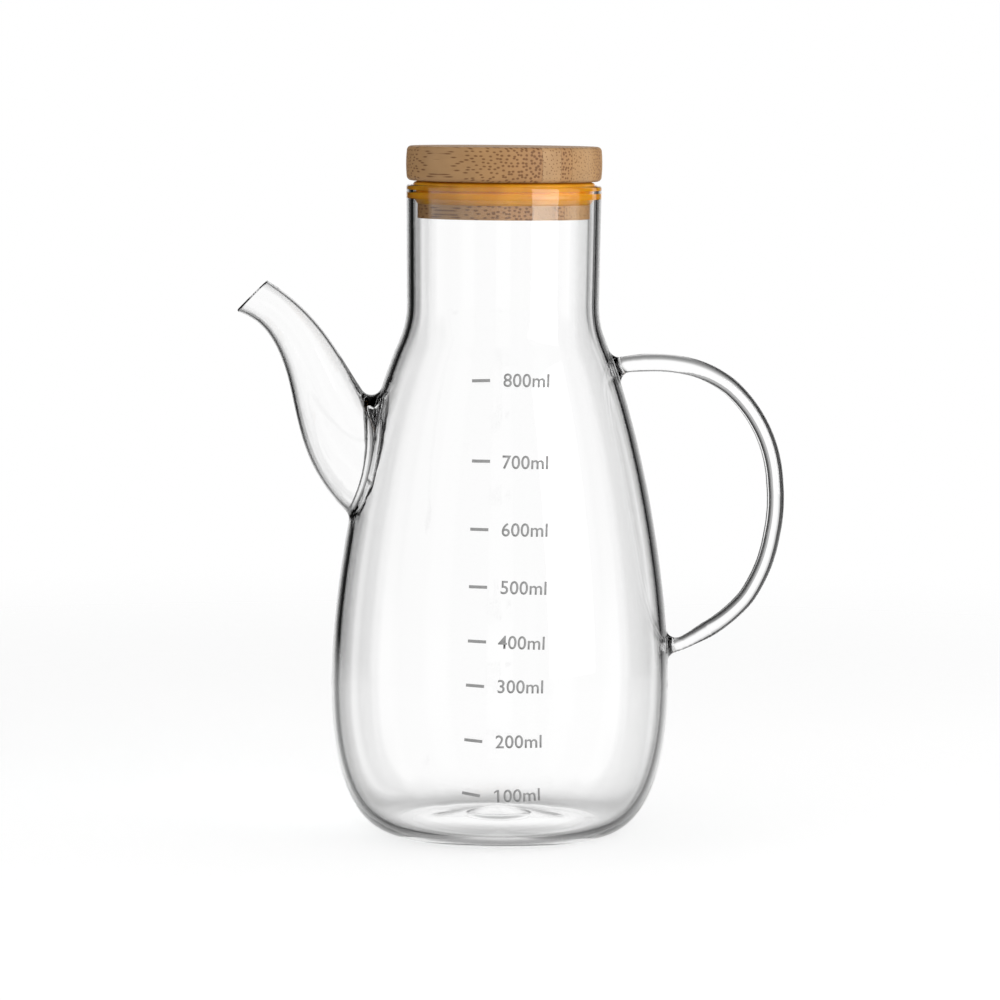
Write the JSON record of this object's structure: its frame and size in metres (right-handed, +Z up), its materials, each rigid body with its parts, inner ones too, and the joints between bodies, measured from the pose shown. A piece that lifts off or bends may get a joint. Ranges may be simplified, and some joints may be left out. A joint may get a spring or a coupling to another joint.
{
  "type": "glass oil dispenser",
  "caption": "Empty clear glass oil jug with a blown spout, a glass rod handle, a printed measuring scale and a bamboo lid with a silicone seal.",
  "frame": {"origin": "centre of the standing ring, on the jug's axis at the surface it stands on", "axes": "+Z up along the jug's axis, -X towards the spout, +X towards the handle, the printed scale faces -Y"},
  "size_m": [0.1622, 0.1002, 0.2036],
  "materials": {
    "clear_glass": "clear polished borosilicate glass",
    "bamboo": "satin laminated bamboo with dark fibre dots",
    "amber_silicone": "translucent amber silicone",
    "scale_ink": "grey screen print of the measuring scale"
  },
  "bodies": {
    "root": {"glass_jug": "clear_glass", "bamboo_lid": "bamboo", "silicone_seal": "amber_silicone"}
  },
  "joints": []
}
